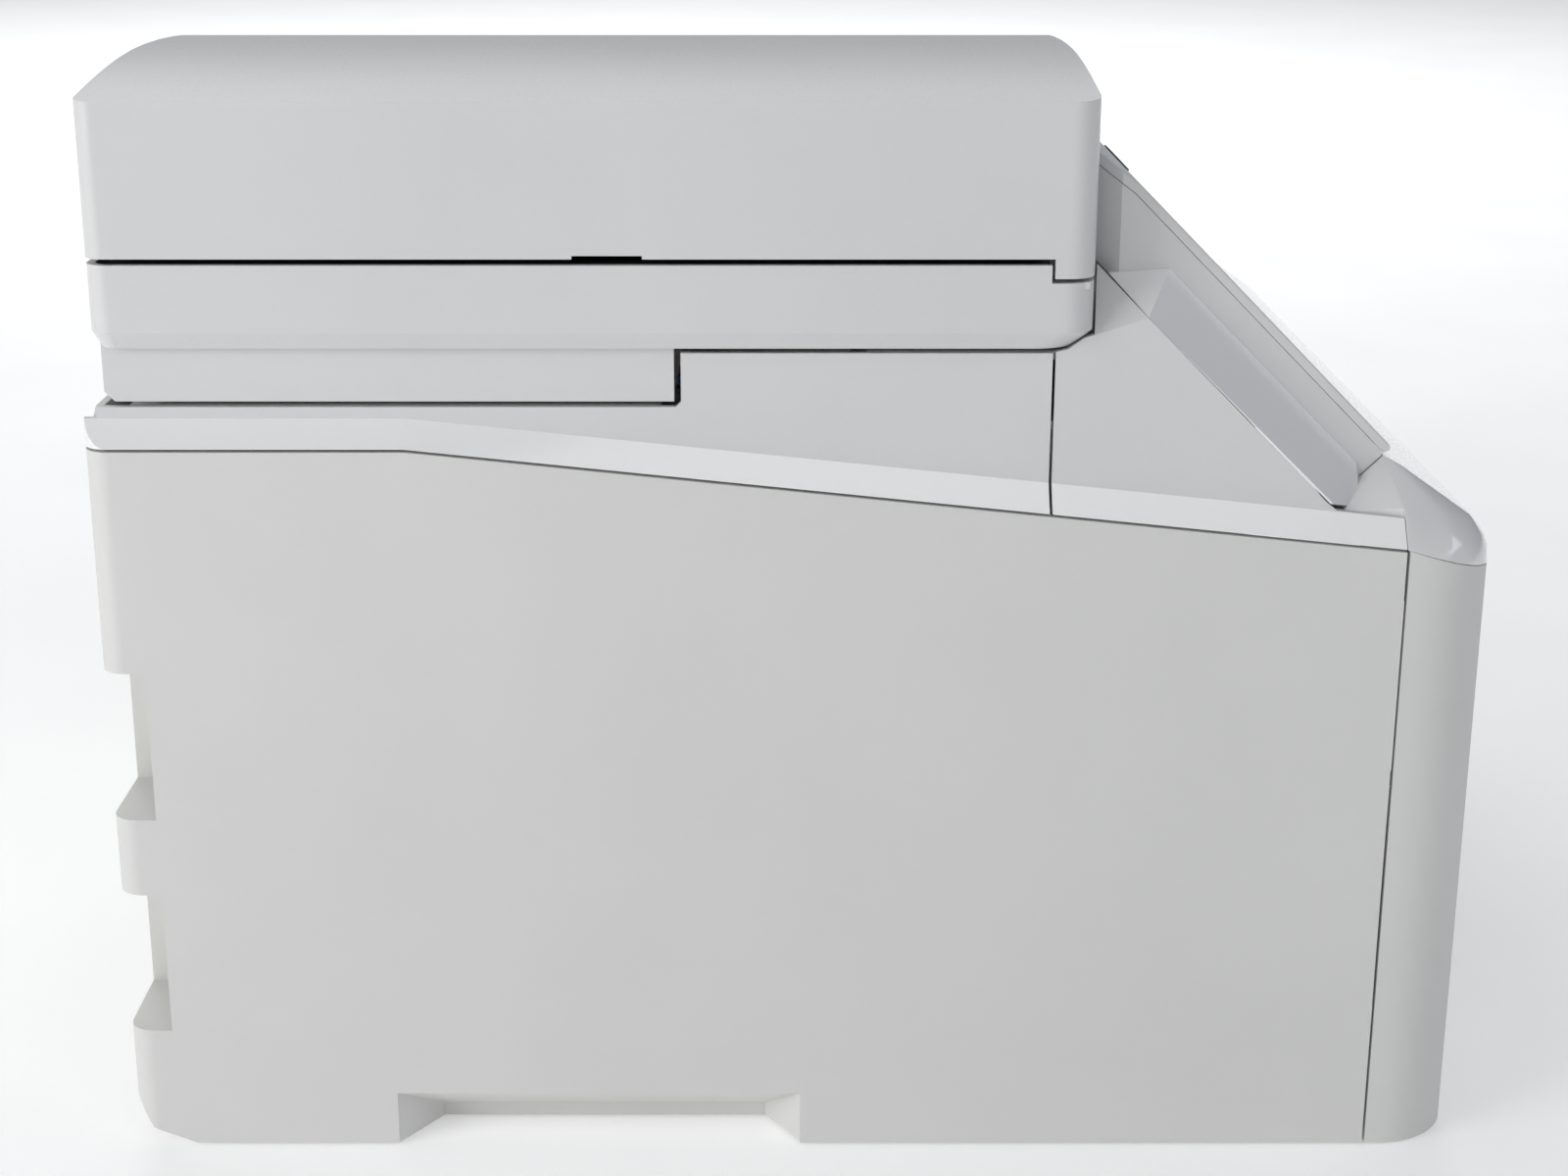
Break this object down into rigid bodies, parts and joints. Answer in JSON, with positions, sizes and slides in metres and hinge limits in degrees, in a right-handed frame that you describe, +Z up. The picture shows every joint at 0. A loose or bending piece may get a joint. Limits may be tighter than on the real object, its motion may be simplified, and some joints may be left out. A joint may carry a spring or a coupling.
{
  "type": "inkjet printer",
  "caption": "Desktop multifunction inkjet printer with document feeder, flatbed scanner lid, sloping control panel, pull-out paper cassette and sliding print carriage.",
  "frame": {"origin": "on the ground under the middle of the machine", "axes": "+Z up, the front with the control panel faces -Y, X runs across the width"},
  "size_m": [0.42, 0.421, 0.3368],
  "materials": {
    "textured_shell": "fine-grained light grey moulding",
    "smooth_shell": "satin light grey moulding",
    "gloss_shell": "polished near-white moulding",
    "inner_grey": "plain mid grey moulding",
    "dark_plastic": "plain black moulding",
    "white_acetal": "smooth natural acetal",
    "plated_steel": "zinc-plated sheet",
    "ground_steel": "ground bar",
    "rubber": "matt rubber",
    "glass": "clear float glass",
    "screen": "black cover glass",
    "circuit_board": "green solder mask",
    "black_ink": "moulded cartridge",
    "cyan_ink": "moulded cartridge",
    "magenta_ink": "moulded cartridge",
    "yellow_ink": "moulded cartridge"
  },
  "bodies": {
    "chassis": {"base_pan": "inner_grey", "rubber_feet": "rubber", "left_side_panel": "textured_shell", "right_side_panel": "textured_shell", "left_upper_cover": "gloss_shell", "right_upper_cover": "gloss_shell", "left_cheek_cover": "gloss_shell", "right_cheek_cover": "gloss_shell", "panel_housing": "gloss_shell", "panel_bezel": "gloss_shell", "touch_screen": "screen", "front_frame": "textured_shell", "rear_cover": "textured_shell", "top_case": "smooth_shell", "output_bin": "dark_plastic", "left_frame_plate": "plated_steel", "right_frame_plate": "plated_steel", "carriage_rail": "plated_steel", "guide_rod": "ground_steel", "platen": "dark_plastic", "feed_motor": "plated_steel", "inner_guide": "dark_plastic", "carriage_motor": "plated_steel", "carriage_belt": "rubber", "service_station": "inner_grey", "logic_board": "circuit_board", "power_supply": "dark_plastic"},
    "power_button": {"power_button": "dark_plastic"},
    "rear_door": {"rear_door": "textured_shell"},
    "output_tray": {"output_tray": "dark_plastic"},
    "stop_flap": {"stop_flap": "dark_plastic"},
    "feed_roller": {"feed_roller": "rubber"},
    "exit_roller": {"exit_roller": "rubber"},
    "idler_gear": {"idler_gear": "white_acetal"},
    "feed_pinion": {"feed_pinion": "white_acetal"},
    "pinch_roller": {"pinch_roller": "rubber"},
    "pick_arm": {"pick_arm": "white_acetal"},
    "pick_roller": {"pick_roller": "rubber"},
    "carriage": {"carriage": "dark_plastic"},
    "black_cartridge": {"black_cartridge": "black_ink"},
    "cyan_cartridge": {"cyan_cartridge": "cyan_ink"},
    "magenta_cartridge": {"magenta_cartridge": "magenta_ink"},
    "yellow_cartridge": {"yellow_cartridge": "yellow_ink"},
    "motor_pulley": {"motor_pulley": "plated_steel"},
    "idler_pulley": {"idler_pulley": "white_acetal"},
    "cap_sled": {"cap_sled": "rubber"},
    "paper_cassette": {"paper_cassette": "textured_shell"},
    "left_width_guide": {"left_width_guide": "dark_plastic"},
    "right_width_guide": {"right_width_guide": "dark_plastic"},
    "length_guide": {"length_guide": "dark_plastic"},
    "lift_plate": {"lift_plate": "plated_steel"},
    "scanner": {"scanner_base": "smooth_shell", "scanner_top": "dark_plastic", "platen_glass": "glass"},
    "scan_bar": {"scan_bar": "dark_plastic"},
    "lid": {"lid_base": "smooth_shell"},
    "feeder_cover": {"feeder_cover": "smooth_shell"},
    "feeder_roller": {"feeder_roller": "rubber"},
    "feeder_pick_roller": {"feeder_pick_roller": "rubber"},
    "feeder_tray": {"feeder_tray": "smooth_shell"}
  },
  "joints": [
    {"name": "power_button_press", "type": "slide", "parent": "chassis", "child": "power_button", "axis": [0, 0.7071, -0.7071], "range_m": [0, 0.0012], "stiffness_N_per_m": 600, "springref_m": -0.0005},
    {"name": "rear_door_hinge", "type": "hinge", "parent": "chassis", "child": "rear_door", "pos_m": [0, 0.209, 0.044], "axis": [-1, 0, 0], "range_deg": [0, 85]},
    {"name": "cassette_slide", "type": "slide", "parent": "chassis", "child": "paper_cassette", "axis": [0, -1, 0], "range_m": [0, 0.3]},
    {"name": "width_guide_slide", "type": "slide", "parent": "paper_cassette", "child": "left_width_guide", "axis": [1, 0, 0], "range_m": [0, 0.05]},
    {"name": "right_width_guide_slide", "type": "slide", "parent": "paper_cassette", "child": "right_width_guide", "axis": [1, 0, 0], "range_m": [-0.05, 0]},
    {"name": "length_guide_slide", "type": "slide", "parent": "paper_cassette", "child": "length_guide", "axis": [0, 1, 0], "range_m": [0, 0.1]},
    {"name": "lift_plate_hinge", "type": "hinge", "parent": "paper_cassette", "child": "lift_plate", "pos_m": [0, -0.0415, 0.013], "axis": [1, 0, 0], "range_deg": [0, 12]},
    {"name": "output_tray_slide", "type": "slide", "parent": "chassis", "child": "output_tray", "axis": [0, -1, 0], "range_m": [0, 0.15]},
    {"name": "stop_flap_hinge", "type": "hinge", "parent": "output_tray", "child": "stop_flap", "pos_m": [0, -0.1525, 0.08705], "axis": [-1, 0, 0], "range_deg": [0, 100]},
    {"name": "feed_roller_spin", "type": "hinge", "parent": "chassis", "child": "feed_roller", "pos_m": [0, 0.072, 0.098], "axis": [1, 0, 0], "continuous": true},
    {"name": "exit_roller_spin", "type": "hinge", "parent": "chassis", "child": "exit_roller", "pos_m": [0, -0.014, 0.098], "axis": [1, 0, 0], "continuous": true},
    {"name": "idler_gear_spin", "type": "hinge", "parent": "chassis", "child": "idler_gear", "pos_m": [0, 0.028, 0.098], "axis": [1, 0, 0], "continuous": true},
    {"name": "feed_pinion_spin", "type": "hinge", "parent": "chassis", "child": "feed_pinion", "pos_m": [0, 0.08897, 0.08103], "axis": [1, 0, 0], "continuous": true},
    {"name": "pinch_roller_spin", "type": "hinge", "parent": "chassis", "child": "pinch_roller", "pos_m": [0, 0.072, 0.109], "axis": [1, 0, 0], "continuous": true},
    {"name": "pick_arm_hinge", "type": "hinge", "parent": "chassis", "child": "pick_arm", "pos_m": [0, 0.052, 0.084], "axis": [1, 0, 0], "range_deg": [0, 12]},
    {"name": "pick_roller_spin", "type": "hinge", "parent": "pick_arm", "child": "pick_roller", "pos_m": [0, 0.1, 0.06], "axis": [1, 0, 0], "continuous": true},
    {"name": "carriage_slide", "type": "slide", "parent": "chassis", "child": "carriage", "axis": [1, 0, 0], "range_m": [-0.272, 0]},
    {"name": "motor_pulley_spin", "type": "hinge", "parent": "chassis", "child": "motor_pulley", "pos_m": [-0.155, 0.128, 0.152], "axis": [0, 0, 1], "range_deg": [-2400, 0]},
    {"name": "idler_pulley_spin", "type": "hinge", "parent": "chassis", "child": "idler_pulley", "pos_m": [0.1854, 0.128, 0.152], "axis": [0, 0, 1], "range_deg": [-2400, 0]},
    {"name": "black_cartridge_lift", "type": "slide", "parent": "carriage", "child": "black_cartridge", "axis": [0, 0, 1], "range_m": [0, 0.045]},
    {"name": "cyan_cartridge_lift", "type": "slide", "parent": "carriage", "child": "cyan_cartridge", "axis": [0, 0, 1], "range_m": [0, 0.045]},
    {"name": "magenta_cartridge_lift", "type": "slide", "parent": "carriage", "child": "magenta_cartridge", "axis": [0, 0, 1], "range_m": [0, 0.045]},
    {"name": "yellow_cartridge_lift", "type": "slide", "parent": "carriage", "child": "yellow_cartridge", "axis": [0, 0, 1], "range_m": [0, 0.045]},
    {"name": "cap_sled_lift", "type": "slide", "parent": "chassis", "child": "cap_sled", "axis": [0, 0, 1], "range_m": [-0.005, 0]},
    {"name": "scanner_hinge", "type": "hinge", "parent": "chassis", "child": "scanner", "pos_m": [0, 0.198, 0.247], "axis": [-1, 0, 0], "range_deg": [0, 40]},
    {"name": "scan_bar_slide", "type": "slide", "parent": "scanner", "child": "scan_bar", "axis": [1, 0, 0], "range_m": [0, 0.346]},
    {"name": "lid_hinge", "type": "hinge", "parent": "scanner", "child": "lid", "pos_m": [0, 0.203, 0.287], "axis": [-1, 0, 0], "range_deg": [0, 75]},
    {"name": "feeder_cover_hinge", "type": "hinge", "parent": "lid", "child": "feeder_cover", "pos_m": [-0.206, 0.06, 0.29], "axis": [0, -1, 0], "range_deg": [0, 65]},
    {"name": "feeder_roller_spin", "type": "hinge", "parent": "lid", "child": "feeder_roller", "pos_m": [-0.11, 0.05, 0.31], "axis": [0, 1, 0], "continuous": true},
    {"name": "feeder_pick_spin", "type": "hinge", "parent": "lid", "child": "feeder_pick_roller", "pos_m": [-0.08, 0.05, 0.31], "axis": [0, 1, 0], "continuous": true},
    {"name": "feeder_tray_hinge", "type": "hinge", "parent": "lid", "child": "feeder_tray", "pos_m": [-0.051, 0.06, 0.3095], "axis": [0, -1, 0], "range_deg": [0, 50]}
  ],
  "couplings": [
    {"joint": "right_width_guide_slide", "follows": "width_guide_slide", "ratio": -1},
    {"joint": "exit_roller_spin", "follows": "feed_roller_spin", "ratio": 1.125},
    {"joint": "idler_gear_spin", "follows": "feed_roller_spin", "ratio": -0.69231},
    {"joint": "feed_pinion_spin", "follows": "feed_roller_spin", "ratio": -3},
    {"joint": "pinch_roller_spin", "follows": "feed_roller_spin", "ratio": -1.5476},
    {"joint": "motor_pulley_spin", "follows": "carriage_slide", "rad_per_m": 149.25},
    {"joint": "idler_pulley_spin", "follows": "carriage_slide", "rad_per_m": 149.25},
    {"joint": "feeder_pick_spin", "follows": "feeder_roller_spin", "ratio": 0.94118}
  ]
}
